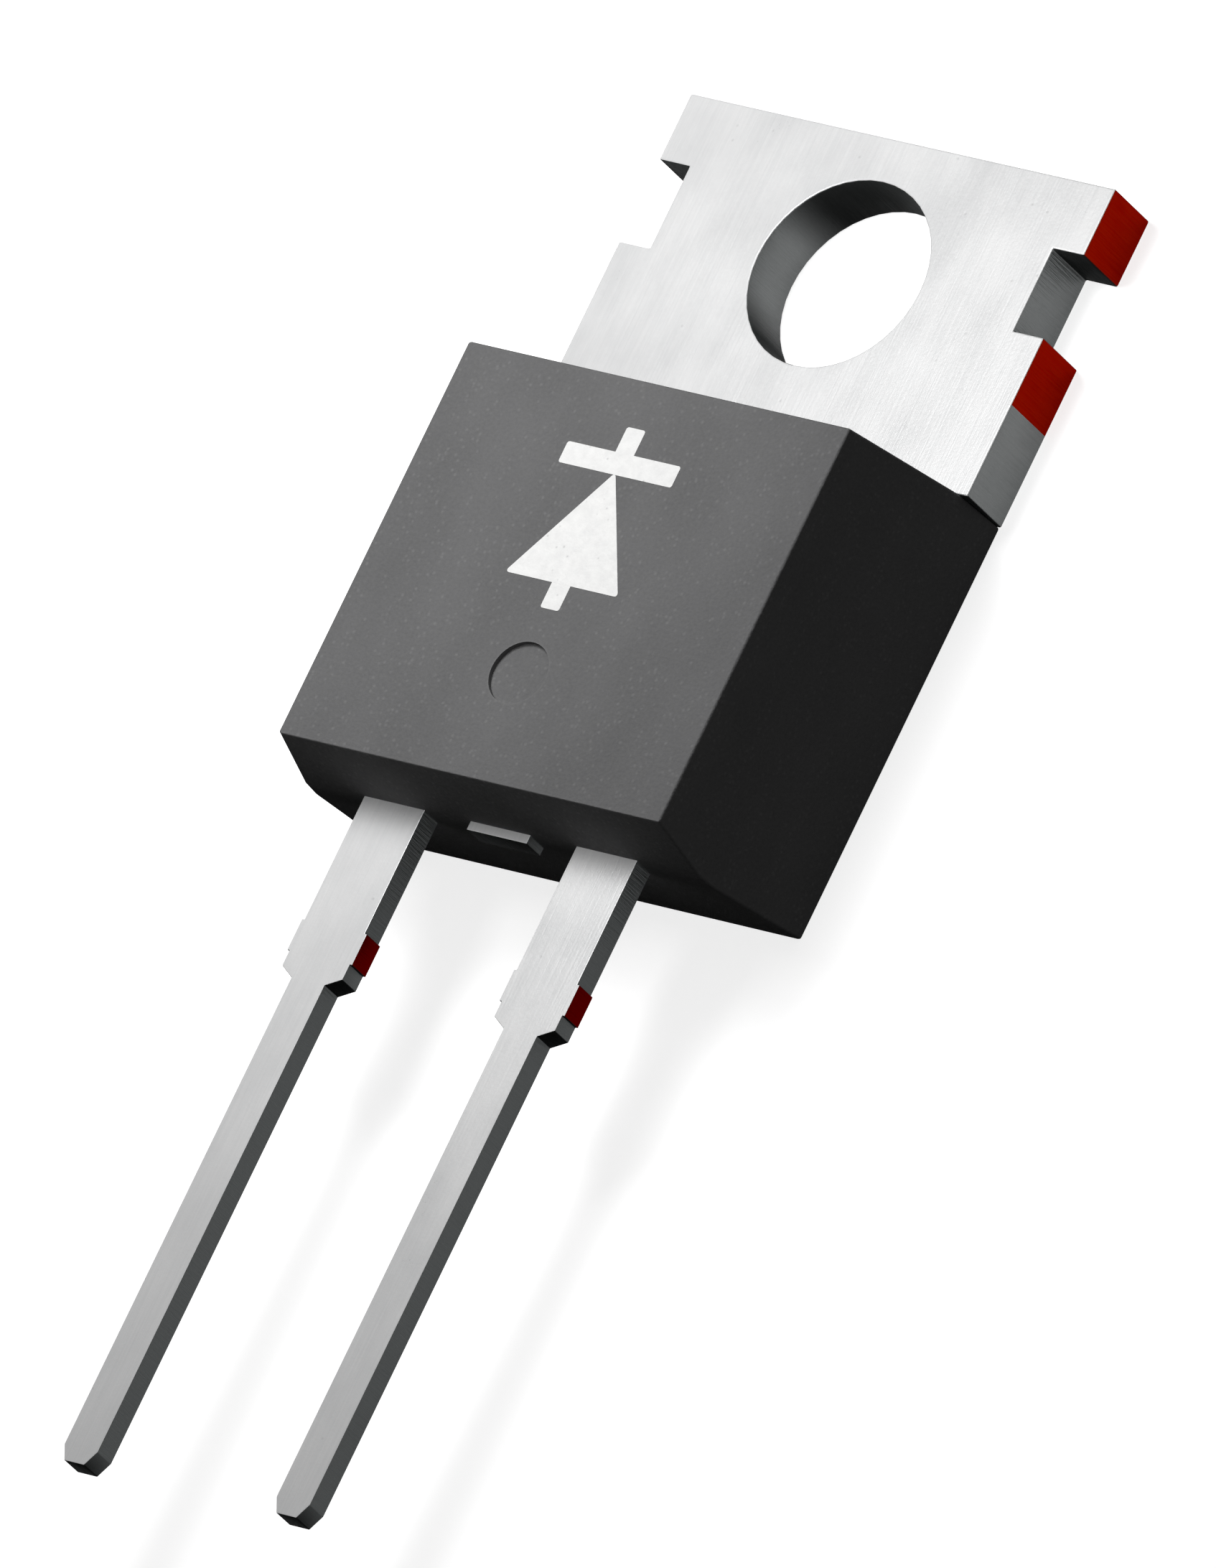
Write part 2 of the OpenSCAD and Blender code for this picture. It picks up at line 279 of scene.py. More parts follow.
class Workshop:
    """Holds the shared effects, built once, and starts each material."""

    def __init__(self) -> None:
        """Builds the shared node groups."""
        self.grain_tree = grain_group()
        self.speck_tree = speck_group()
        self.edge_tree = edge_group()

    def start(self, name: str) -> tuple[bpy.types.Material, NodeBench, bpy.types.Node]:
        """Starts a material with its Principled shader.

        Args:
            name: Name of the material.

        Returns:
            The material, the bench for its tree and the shader.
        """
        material = bpy.data.materials.new(name)
        material.use_nodes = True
        material.node_tree.nodes.clear()
        bench = NodeBench(material.node_tree)
        shader = bench.add("ShaderNodeBsdfPrincipled")
        bench.add("ShaderNodeOutputMaterial", {"Surface": shader.outputs[0]})
        return material, bench, shader

    def grain(
        self, bench: NodeBench, repeats: Colour, detail: float = 3.0, contrast: float = 1.0
    ) -> bpy.types.NodeSocket:
        """Places the grain group.

        Args:
            bench: Bench of the material.
            repeats: Repeats per millimetre along X, Y and Z.
            detail: Octaves of finer noise.
            contrast: 1 keeps the noise's own spread.

        Returns:
            The socket with the 0 to 1 value.
        """
        node = bench.add("ShaderNodeGroup", node_tree=self.grain_tree)
        node.inputs["Repeats"].default_value = repeats
        node.inputs["Detail"].default_value = detail
        node.inputs["Contrast"].default_value = contrast
        return node.outputs[0]

    def specks(
        self, bench: NodeBench, repeats: float, radius: float, share: float
    ) -> bpy.types.NodeSocket:
        """Places the speck group.

        Args:
            bench: Bench of the material.
            repeats: Cells per millimetre.
            radius: Size of a speck in cells.
            share: Share of the cells that hold a speck.

        Returns:
            The socket with the mask.
        """
        node = bench.add("ShaderNodeGroup", node_tree=self.speck_tree)
        node.inputs["Repeats"].default_value = repeats
        node.inputs["Radius"].default_value = radius
        node.inputs["Share"].default_value = share
        return node.outputs[0]

    def edges(self, bench: NodeBench, width: float, gain: float) -> bpy.types.NodeSocket:
        """Places the rubbed-edge group.

        Args:
            bench: Bench of the material.
            width: Width of the rubbed strip, in millimetres.
            gain: Strength of the mask.

        Returns:
            The socket with the mask.
        """
        node = bench.add("ShaderNodeGroup", node_tree=self.edge_tree)
        node.inputs["Width"].default_value = width
        node.inputs["Gain"].default_value = gain
        return node.outputs[0]

    def bump(self, bench: NodeBench, shader: bpy.types.Node, height: Any, depth: float) -> None:
        """Feeds a height into the shader's normal.

        Args:
            bench: Bench of the material.
            shader: The Principled shader.
            height: Socket with the height from 0 to 1.
            depth: Depth in millimetres that a height of 1 stands for.
        """
        node = bench.add("ShaderNodeBump", {"Height": height, "Distance": depth * MM, "Strength": 1.0})
        bench.tree.links.new(node.outputs[0], shader.inputs["Normal"])


@dataclass(frozen=True)
class MouldedEpoxy:
    """Filled epoxy as it leaves the mould: matte, finely grained, with pale filler at the surface."""

    base: Colour = (0.168, 0.168, 0.17)
    filler: Colour = (0.3, 0.3, 0.3)
    rubbed: Colour = (0.27, 0.27, 0.27)
    clouded: float = 0.86
    filler_share: float = 0.36
    grain_share: float = 0.16
    rubbed_share: float = 0.5
    rough: Range = (0.7, 0.9)
    gloss: float = 0.0
    relief: float = 0.006

    def build(self, shop: Workshop) -> bpy.types.Material:
        """Builds the material.

        Args:
            shop: The shared effects.

        Returns:
            The material.
        """
        material, bench, shader = shop.start("moulded_epoxy")
        flow = shop.grain(bench, (0.5, 0.3, 0.5), detail=4.0, contrast=1.4)
        fine = shop.grain(bench, (14.0, 14.0, 14.0), detail=4.0, contrast=1.2)
        filler = shop.specks(bench, repeats=9.0, radius=0.42, share=0.35)
        edge = shop.edges(bench, width=0.1, gain=1.6)
        dark = tuple(self.clouded * c for c in self.base)
        clouded = bench.mix_colour(flow, opaque(dark), opaque(self.base))
        shown_filler = bench.math("MULTIPLY", filler, self.filler_share)
        speckled = bench.mix_colour(shown_filler, clouded, opaque(self.filler))
        shown_grain = bench.spread(fine, 0.0, self.grain_share)
        grained = bench.mix_colour(shown_grain, speckled, opaque(self.filler))
        shown_edge = bench.math("MULTIPLY", edge, self.rubbed_share)
        rubbed = bench.mix_colour(shown_edge, grained, opaque(self.rubbed))
        bench.tree.links.new(rubbed, shader.inputs["Base Color"])
        bench.tree.links.new(bench.spread(fine, *self.rough), shader.inputs["Roughness"])
        shader.inputs["Specular IOR Level"].default_value = self.gloss
        relief = bench.math("ADD", fine, bench.math("MULTIPLY", filler, 0.5))
        shop.bump(bench, shader, relief, self.relief)
        return material


@dataclass(frozen=True)
class TinPlate:
    """Satin tin plate over rolled copper strip: bright, softly clouded, with faint rolling lines."""

    base: Colour = (0.89, 0.89, 0.89)
    shade: Colour = (0.78, 0.785, 0.79)
    pit: Colour = (0.35, 0.35, 0.35)
    pit_share: float = 0.35
    metal: float = 0.15
    rough: Range = (0.26, 0.36)
    crystal_rough: float = 0.08
    relief: float = 0.0018

    def build(self, shop: Workshop) -> bpy.types.Material:
        """Builds the material.

        Args:
            shop: The shared effects.

        Returns:
            The material.
        """
        material, bench, shader = shop.start(Finish.PLATED.value)
        cloud = shop.grain(bench, (0.7, 0.45, 0.7), detail=5.0, contrast=1.6)
        lines = shop.grain(bench, (26.0, 0.5, 6.0), detail=3.0, contrast=1.3)
        crystal = shop.grain(bench, (16.0, 16.0, 16.0), detail=3.0, contrast=1.2)
        pits = shop.specks(bench, repeats=2.4, radius=0.1, share=0.3)
        tone = bench.math("MULTIPLY", bench.math("ADD", cloud, lines), 0.5)
        clouded = bench.mix_colour(tone, opaque(self.shade), opaque(self.base))
        shown_pits = bench.math("MULTIPLY", pits, self.pit_share)
        pitted = bench.mix_colour(shown_pits, clouded, opaque(self.pit))
        crystal_rough = bench.spread(crystal, 0.0, self.crystal_rough)
        rough = bench.math("ADD", bench.spread(cloud, *self.rough), crystal_rough)
        bench.tree.links.new(pitted, shader.inputs["Base Color"])
        bench.tree.links.new(rough, shader.inputs["Roughness"])
        shader.inputs["Metallic"].default_value = self.metal
        rolling = bench.math("MULTIPLY", lines, 0.6)
        relief = bench.math("ADD", rolling, bench.math("MULTIPLY", crystal, 0.5))
        shop.bump(bench, shader, bench.math("SUBTRACT", relief, pits), self.relief)
        return material


@dataclass(frozen=True)
class CutEdge:
    """The thickness of the strip where a tool went through: upright striations, dull and dark.

    Faces that point along Y get painted shade: a darker colour with less metal and gloss, standing in
    for the shade that falls on them. It sets in as the share of the face's normal that lies along Y
    rises from the lower threshold below to the upper one. Base and shade are its colours along the
    strip, and across is the colour of the painted shade.
    """

    name: str
    base: Colour
    shade: Colour
    across: Colour
    metal: float
    rough: float
    gloss: float = 0.3
    tint: Colour = (1.0, 1.0, 1.0)
    shade_paint_from: float = 0.25
    shade_paint_full: float = 0.75
    shade_paint_least: float = 0.97
    rough_spread: Range = (-0.08, 0.1)
    relief: float = 0.006

    def build(self, shop: Workshop) -> bpy.types.Material:
        """Builds the material.

        Args:
            shop: The shared effects.

        Returns:
            The material.
        """
        material, bench, shader = shop.start(self.name)
        scores = shop.grain(bench, (22.0, 22.0, 1.1), detail=4.0, contrast=1.6)
        patches = shop.grain(bench, (1.6, 1.6, 1.6), detail=4.0, contrast=1.4)
        tone = bench.math("MULTIPLY", bench.math("ADD", scores, patches), 0.5)
        along = bench.mix_colour(tone, opaque(self.shade), opaque(self.base))
        facing = bench.add("ShaderNodeNewGeometry").outputs["Normal"]
        normal = bench.add("ShaderNodeSeparateXYZ", {0: facing})
        # Painted shade: faces pointing along Y get the darker across colour, less metal and less gloss.
        y_facing_shade = bench.add(
            "ShaderNodeMapRange",
            {
                "Value": bench.math("ABSOLUTE", normal.outputs["Y"]),
                "From Min": self.shade_paint_from,
                "From Max": self.shade_paint_full,
            },
            interpolation_type="SMOOTHSTEP",
        )
        uneven = bench.spread(tone, 1.0, self.shade_paint_least)
        painted_shade = bench.math("MULTIPLY", y_facing_shade.outputs["Result"], uneven)
        colour = bench.mix_colour(painted_shade, along, opaque(self.across))
        bench.tree.links.new(colour, shader.inputs["Base Color"])
        rough = bench.spread(tone, *(self.rough + change for change in self.rough_spread))
        bench.tree.links.new(rough, shader.inputs["Roughness"])
        bench.tree.links.new(bench.spread(painted_shade, self.metal, 0.0), shader.inputs["Metallic"])
        bench.tree.links.new(bench.spread(painted_shade, self.gloss, 0.0), shader.inputs["Specular IOR Level"])
        shader.inputs["Specular Tint"].default_value = opaque(self.tint)
        shop.bump(bench, shader, scores, self.relief)
        return material


@dataclass(frozen=True)
class PrintedInk:
    """White marking ink: a thin film, slightly uneven, with pinholes where the mould's grain shows."""

    base: Colour = (0.93, 0.93, 0.92)
    thin: Colour = (0.74, 0.74, 0.74)
    pinhole: Colour = (0.3, 0.3, 0.3)
    film: Range = (0.55, 1.0)
    pinhole_share: float = 0.5
    rough: Range = (0.45, 0.65)
    relief: float = 0.004

    def build(self, shop: Workshop) -> bpy.types.Material:
        """Builds the material.

        Args:
            shop: The shared effects.

        Returns:
            The material.
        """
        material, bench, shader = shop.start("white_ink")
        film = shop.grain(bench, (5.0, 5.0, 5.0), detail=5.0, contrast=1.5)
        grain = shop.grain(bench, (14.0, 14.0, 14.0), detail=4.0, contrast=1.2)
        holes = shop.specks(bench, repeats=6.0, radius=0.2, share=0.25)
        evened = bench.mix_colour(bench.spread(film, *self.film), opaque(self.thin), opaque(self.base))
        shown_holes = bench.math("MULTIPLY", holes, self.pinhole_share)
        pricked = bench.mix_colour(shown_holes, evened, opaque(self.pinhole))
        bench.tree.links.new(pricked, shader.inputs["Base Color"])
        bench.tree.links.new(bench.spread(grain, *self.rough), shader.inputs["Roughness"])
        shop.bump(bench, shader, grain, self.relief)
        return material


@dataclass(frozen=True)
class InnerMetal:
    """Plain finish of the sealed inner pieces, brushed or grained in one direction."""

    name: str
    base: Colour
    shade: Colour
    repeats: Colour
    rough: float
    rough_spread: float = 0.15
    metal: float = 0.9

    def build(self, shop: Workshop) -> bpy.types.Material:
        """Builds the material.

        Args:
            shop: The shared effects.

        Returns:
            The material.
        """
        material, bench, shader = shop.start(self.name)
        grain = shop.grain(bench, self.repeats, detail=4.0, contrast=1.4)
        colour = bench.mix_colour(grain, opaque(self.shade), opaque(self.base))
        bench.tree.links.new(colour, shader.inputs["Base Color"])
        rough = bench.spread(grain, self.rough, self.rough + self.rough_spread)
        bench.tree.links.new(rough, shader.inputs["Roughness"])
        shader.inputs["Metallic"].default_value = self.metal
        return material


def merged_copy(node: str) -> bmesh.types.BMesh:
    """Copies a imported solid's mesh, welds its triangles and joins the flat ones into whole faces.

    Args:
        node: Name of the solid's node.

    Returns:
        The mesh, in metres, with its place in its vertices.
    """
    mesh = bmesh.new()
    mesh.from_mesh(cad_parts[node].data)
    bmesh.ops.remove_doubles(mesh, verts=mesh.verts, dist=WELD)
    bmesh.ops.dissolve_limit(
        mesh,
        angle_limit=math.radians(FLAT_WITHIN),
        verts=mesh.verts,
        edges=mesh.edges,
        use_dissolve_boundaries=False,
    )
    mesh.normal_update()
    return mesh


def finished_piece(
    name: str,
    mesh: bmesh.types.BMesh,
    materials: list[bpy.types.Material],
    rounding: float,
    node: str,
) -> bpy.types.Object:
    """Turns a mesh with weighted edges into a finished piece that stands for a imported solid.

    Args:
        name: Name of the piece.
        mesh: Mesh whose edges carry bevel weights. It is freed.
        materials: Materials in the order of the faces' indices.
        rounding: Width of the rounding at a weight of 1, in millimetres.
        node: Node that the piece stands for.

    Returns:
        The piece.
    """
    raw = bpy.data.meshes.new(name)
    mesh.to_mesh(raw)
    mesh.free()
    for material in materials:
        raw.materials.append(material)
    piece = bpy.data.objects.new(name, raw)
    bpy.context.scene.collection.objects.link(piece)
    bevel = piece.modifiers.new("rounding", "BEVEL")
    bevel.limit_method = "WEIGHT"
    bevel.width = rounding * MM
    bevel.segments = 2
    bevel.use_clamp_overlap = False
    settle(piece)
    shade_by_angle(piece.data, SMOOTH_BELOW)
    level = piece.modifiers.new("level_flats", "WEIGHTED_NORMAL")
    level.keep_sharp = True
    settle(piece)
    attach(piece, ROOT)
    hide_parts(node)
    return piece


def settle(piece: bpy.types.Object) -> None:
    """Turns a piece's modifiers into plain mesh and removes them.

    Args:
        piece: The piece.
    """
    bpy.context.view_layer.update()
    evaluated = piece.evaluated_get(bpy.context.evaluated_depsgraph_get())
    made = bpy.data.meshes.new_from_object(evaluated)
    piece.modifiers.clear()
    old, piece.data = piece.data, made
    bpy.data.meshes.remove(old)
    piece.data.name = piece.name


def shade_by_angle(mesh: bpy.types.Mesh, degrees: float) -> None:
    """Shades a mesh smooth, apart from its sharp edges.

    Args:
        mesh: The mesh.
        degrees: Angle from which an edge counts as sharp.
    """
    work = bmesh.new()
    work.from_mesh(mesh)
    for face in work.faces:
        face.smooth = True
    for edge in work.edges:
        edge.smooth = len(edge.link_faces) == 2 and edge.calc_face_angle() < math.radians(degrees)
    work.to_mesh(mesh)
    work.free()


def weigh_edges(mesh: bmesh.types.BMesh, weight: Callable[[bmesh.types.BMEdge], float]) -> None:
    """Writes bevel weights on the edges that turn by more than ROUND_ABOVE.

    Args:
        mesh: The mesh to mark.
        weight: Gives the weight of such an edge.
    """
    layer = mesh.edges.layers.float.new("bevel_weight_edge")
    for edge in mesh.edges:
        if len(edge.link_faces) == 2 and edge.calc_face_angle() > math.radians(ROUND_ABOVE):
            edge[layer] = weight(edge)


@dataclass
class LeadFrame:
    """The tin-plated copper pieces: the tab with the cathode lead, and the anode lead."""

    lead_pitch: float = 5.08
    dam_bar_width: float = 1.56
    shear_proud: float = 0.01
    tab_rounding: float = 0.04
    lead_rounding: float = 0.015
    tolerance: float = 0.01
    tab_clearance: float = 0.5

    def build(self, materials: dict[Finish, bpy.types.Material]) -> list[bpy.types.Object]:
        """Builds both pieces with rounded edges and a finish on each face.

        Args:
            materials: The finishes' materials.

        Returns:
            The pieces.
        """
        made = []
        for node in ("cathode_frame", "anode_lead"):
            mesh = merged_copy(node)
            self.dress(mesh)
            self.close_shear_step(mesh)
            weigh_edges(mesh, self.edge_weight)
            finishes = [materials[finish] for finish in Finish]
            made.append(
                finished_piece(
                    f"{node}_plated", mesh, finishes, self.tab_rounding, node
                )
            )
        return made

    def dress(self, mesh: bmesh.types.BMesh) -> None:
        """Gives each face its finish by how the strip was worked there, with darker copies as painted
        shade on the leads.

        Args:
            mesh: Mesh of one piece.
        """
        order = list(Finish)
        for face in mesh.faces:
            face.material_index = order.index(self.finish_of(face))

    def finish_of(self, face: bmesh.types.BMFace) -> Finish:
        """Finds the finish of a face from its place and the way it faces.

        Args:
            face: The face.

        Returns:
            The finish.
        """
        centre = face.calc_center_median() / MM
        is_side = abs(face.normal.x) > 0.9
        is_flat = abs(face.normal.z) > 0.5
        if is_side and self.is_tab_shear(centre):
            return Finish.SHEARED
        # The dam bars' trimmed ends take the darker red copy: painted shade.
        if is_side and self.is_dam_shear(centre):
            return Finish.TRIMMED
        if is_flat:
            return Finish.PLATED
        # The thin leads' cut sides take the darker grey copy: painted shade.
        return Finish.SLIT if self.is_thin(centre) else Finish.STAMPED

    def tab_half(self) -> float:
        """Returns half of the tab's width over its sheared edges, in millimetres."""
        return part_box("cathode_frame")[1].x / MM

    def is_tab_shear(self, place: Vector) -> bool:
        """Tells whether a place lies on the tab's sheared edges."""
        return abs(place.x) > self.tab_half() - self.shear_proud / 2

    def is_thin(self, place: Vector) -> bool:
        """Tells whether a place lies in the thin strip that the leads are cut from."""
        return place.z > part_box("anode_lead")[0].z / MM

    def is_dam_shear(self, place: Vector) -> bool:
        """Tells whether a place lies on the sheared end of a dam bar's stub.

        Args:
            place: Place in millimetres.

        Returns:
            Whether it lies there.
        """
        off_centre = abs(abs(place.x) - self.lead_pitch / 2)
        outside = place.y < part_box("epoxy_body")[0].y / MM
        return outside and abs(off_centre - self.dam_bar_width / 2) < self.tolerance

    def close_shear_step(self, mesh: bmesh.types.BMesh) -> None:
        """Lays the tab's sheared edges level with its plain ones, which are one edge to the eye.

        Args:
            mesh: Mesh of one piece.
        """
        plain = self.tab_half() - self.shear_proud
        for vert in mesh.verts:
            if abs(vert.co.x) / MM > plain:
                vert.co.x = math.copysign(plain * MM, vert.co.x)
        bmesh.ops.remove_doubles(mesh, verts=mesh.verts, dist=WELD)
        bmesh.ops.dissolve_degenerate(mesh, dist=WELD, edges=mesh.edges)
        mesh.normal_update()

    def edge_weight(self, edge: bmesh.types.BMEdge) -> float:
        """Weighs the thin leads' edges lower than the thick tab's.

        Args:
            edge: The edge.

        Returns:
            The weight, which is 1 on the tab.
        """
        height = max(vert.co.z for vert in edge.verts)
        is_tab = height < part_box("anode_lead")[0].z - self.tab_clearance * MM
        return 1.0 if is_tab else self.lead_rounding / self.tab_rounding


@dataclass
class MouldedBody:
    """The epoxy body, with the slight rounding that a mould's edges leave."""

    rounding: float = 0.05
    tolerance: float = 0.002

    def build(self, material: bpy.types.Material) -> bpy.types.Object:
        """Builds the body with rounded outer edges.

        Args:
            material: The epoxy.

        Returns:
            The piece.
        """
        mesh = merged_copy("epoxy_body")
        corners = [vert.co.copy() for vert in mesh.verts]
        outer = {face for face in mesh.faces if self.is_outer(face, corners)}
        weigh_edges(mesh, lambda edge: float(all(face in outer for face in edge.link_faces)))
        return finished_piece(
            "moulded_body", mesh, [material], self.rounding, "epoxy_body"
        )

    def is_outer(self, face: bmesh.types.BMFace, corners: list[Vector]) -> bool:
        """Tells whether a face is part of the body's outer form.

        Args:
            face: The face.
            corners: All the places of the body's vertices.

        Returns:
            Whether no vertex lies in front of the face.
        """
        start = face.calc_center_median()
        return all((corner - start).dot(face.normal) < self.tolerance * MM for corner in corners)


@dataclass
class PrintedSymbol:
    """A circuit diode symbol in white ink on the moulded face: a triangle, a bar and two lines."""

    from_tab_end: float = 3.19
    triangle_side: float = 2.7
    stroke: float = 0.44
    stem: float = 0.52
    corner: float = 0.05
    film: float = 0.012

    def tree(self, material: bpy.types.Material) -> bpy.types.NodeTree:
        """Builds the tree that lays out the symbol's outlines and gives them the ink's thickness.

        Args:
            material: The ink.

        Returns:
            The tree, with the symbol's sizes as named inputs in metres.
        """
        tree = bpy.data.node_groups.new("printed_symbol", "GeometryNodeTree")
        tree.interface.new_socket("Geometry", in_out="INPUT", socket_type="NodeSocketGeometry")
        for name in ("Side", "Stroke", "Stem", "Corner", "Film"):
            tree.interface.new_socket(name, in_out="INPUT", socket_type="NodeSocketFloat")
        tree.interface.new_socket("Geometry", in_out="OUTPUT", socket_type="NodeSocketGeometry")
        bench = NodeBench(tree)
        taken = bench.add("NodeGroupInput").outputs
        height = bench.math("MULTIPLY", taken["Side"], math.sqrt(3) / 2)
        foot = bench.math("MULTIPLY", bench.math("ADD", height, taken["Stroke"]), -0.5)
        third = bench.math("ADD", foot, bench.math("DIVIDE", height, 3.0))
        bar_low = bench.math("SUBTRACT", bench.math("ADD", foot, height), taken["Corner"])
        bar = bench.math("ADD", bar_low, bench.math("MULTIPLY", taken["Stroke"], 0.5))
        bar_high = bench.math("ADD", bar_low, taken["Stroke"])
        stem = bench.math("ADD", taken["Stem"], bench.math("MULTIPLY", taken["Corner"], 2.0))
        off = bench.math("SUBTRACT", bench.math("MULTIPLY", taken["Stem"], 0.5), taken["Corner"])
        outlines = [
            (self.triangle(bench, taken["Side"], third), 1.0),
            (self.strip(bench, taken["Side"], taken["Stroke"], bar), 0.92),
            (self.strip(bench, taken["Stroke"], stem, bench.math("SUBTRACT", foot, off)), 0.84),
            (self.strip(bench, taken["Stroke"], stem, bench.math("ADD", bar_high, off)), 0.84),
        ]
        joined = bench.add("GeometryNodeJoinGeometry")
        for outline, share in outlines:
            self.print_shape(bench, outline, taken, share, joined)
        real = bench.add("GeometryNodeRealizeInstances", {0: joined.outputs[0]})
        inked = bench.add("GeometryNodeSetMaterial", {0: real.outputs[0], "Material": material})
        bench.add("NodeGroupOutput", {0: inked.outputs[0]})
        return tree

    def print_shape(
        self, bench: NodeBench, outline: Any, taken: Any, share: float, joined: bpy.types.Node
    ) -> None:
        """Fills one outline, raises it to its share of the film and joins it to the rest.

        Args:
            bench: Bench of the tree.
            outline: Socket with the outline's curve.
            taken: The tree's inputs.
            share: Share of the film's thickness. It differs where shapes overlap, so that no two
                surfaces lie in one plane.
            joined: Join node that takes the shape.
        """
        radius = taken["Corner"]
        rounded = bench.add(
            "GeometryNodeFilletCurve", {"Curve": outline, "Radius": radius, "Count": 4}, mode="POLY"
        )
        filled = bench.add("GeometryNodeFillCurve", {0: rounded.outputs[0]}, mode="NGONS")
        film = bench.math("MULTIPLY", taken["Film"], share)
        raised = bench.add(
            "GeometryNodeExtrudeMesh",
            {"Mesh": filled.outputs[0], "Offset Scale": film, "Individual": False},
            mode="FACES",
        )
        under = bench.add("GeometryNodeFlipFaces", {0: filled.outputs[0]})
        both = bench.add("GeometryNodeJoinGeometry")
        bench.tree.links.new(raised.outputs[0], both.inputs[0])
        bench.tree.links.new(under.outputs[0], both.inputs[0])
        welded = bench.add("GeometryNodeMergeByDistance", {0: both.outputs[0], "Distance": WELD})
        bench.tree.links.new(welded.outputs[0], joined.inputs[0])

    def strip(self, bench: NodeBench, across: Any, along: Any, middle: Any) -> bpy.types.NodeSocket:
        """Adds a rectangle's outline.

        Args:
            bench: Bench of the tree.
            across: Size along X.
            along: Size along Y.
            middle: Place of its middle along Y.

        Returns:
            The socket with the curve.
        """
        sides = {"Width": across, "Height": along}
        outline = bench.add("GeometryNodeCurvePrimitiveQuadrilateral", sides)
        return self.moved(bench, outline.outputs[0], middle, 0.0)

    def triangle(self, bench: NodeBench, side: Any, middle: Any) -> bpy.types.NodeSocket:
        """Adds the outline of a triangle with a corner towards +Y.

        Args:
            bench: Bench of the tree.
            side: Length of its sides.
            middle: Place of its centre along Y.

        Returns:
            The socket with the curve.
        """
        radius = bench.math("DIVIDE", side, math.sqrt(3))
        corners = {"Resolution": 3, "Radius": radius}
        outline = bench.add("GeometryNodeCurvePrimitiveCircle", corners, mode="RADIUS")
        return self.moved(bench, outline.outputs[0], middle, math.pi / 2)

    def moved(self, bench: NodeBench, curve: Any, middle: Any, turn: float) -> bpy.types.NodeSocket:
        """Moves a curve along Y and turns it about Z.

        Args:
            bench: Bench of the tree.
            curve: Socket with the curve.
            middle: Move along Y.
            turn: Turn in radians.

        Returns:
            The socket with the moved curve.
        """
        place = bench.add("ShaderNodeCombineXYZ", {"Y": middle})
        node = bench.add("GeometryNodeTransform", {"Geometry": curve, "Translation": place.outputs[0]})
        node.inputs["Rotation"].default_value = (0.0, 0.0, turn)
        return node.outputs[0]

    def build(self, material: bpy.types.Material) -> bpy.types.Object:
        """Builds the symbol and lays it on the body.

        Args:
            material: The ink.

        Returns:
            The piece.
        """
        name = "printed_symbol"
        piece = bpy.data.objects.new(name, bpy.data.meshes.new(name))
        bpy.context.scene.collection.objects.link(piece)
        tree = self.tree(material)
        modifier = piece.modifiers.new(name, "NODES")
        modifier.node_group = tree
        sizes = {
            "Side": self.triangle_side,
            "Stroke": self.stroke,
            "Stem": self.stem,
            "Corner": self.corner,
            "Film": self.film,
        }
        for item in tree.interface.items_tree:
            if item.in_out == "INPUT" and item.name in sizes:
                modifier[item.identifier] = sizes[item.name] * MM
        settle(piece)
        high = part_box("epoxy_body")[1]
        sunk = self.film / 4
        for vert in piece.data.vertices:
            vert.co += Vector((0.0, high.y - self.from_tab_end * MM, high.z - sunk * MM))
        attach(piece, ROOT)
        return piece


@dataclass
class SealedPieces:
    """The chip, its solder and the bond wires, sealed inside the body."""

    def dress(self, materials: dict[str, bpy.types.Material]) -> list[bpy.types.Object]:
        """Gives each inner solid its material.

        Args:
            materials: Node name to material.

        Returns:
            The dressed nodes.
        """
        for node, material in materials.items():
            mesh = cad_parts[node].data
            mesh.materials.clear()
            mesh.materials.append(material)
        return [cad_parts[node] for node in materials]


@dataclass(frozen=True)
class Lamp:
    """A square soft lamp: where it hangs, the point that it faces and its side, in millimetres.

    Its radiance is the brightness of its surface, where 1 is white.
    """

    name: str
    place: Colour
    aim: Colour
    side: float
    radiance: float

    def build(self) -> bpy.types.Object:
        """Builds the lamp.

        Returns:
            The lamp.
        """
        light = bpy.data.lights.new(self.name, "AREA")
        light.shape = "SQUARE"
        light.size = self.side * MM
        light.energy = self.radiance * math.pi * (self.side * MM) ** 2
        lamp = bpy.data.objects.new(self.name, light)
        bpy.context.scene.collection.objects.link(lamp)
        lamp.location = Vector(self.place) * MM
        facing = Vector(self.aim) - Vector(self.place)
        lamp.rotation_euler = facing.to_track_quat("-Z", "Y").to_euler()
        return lamp


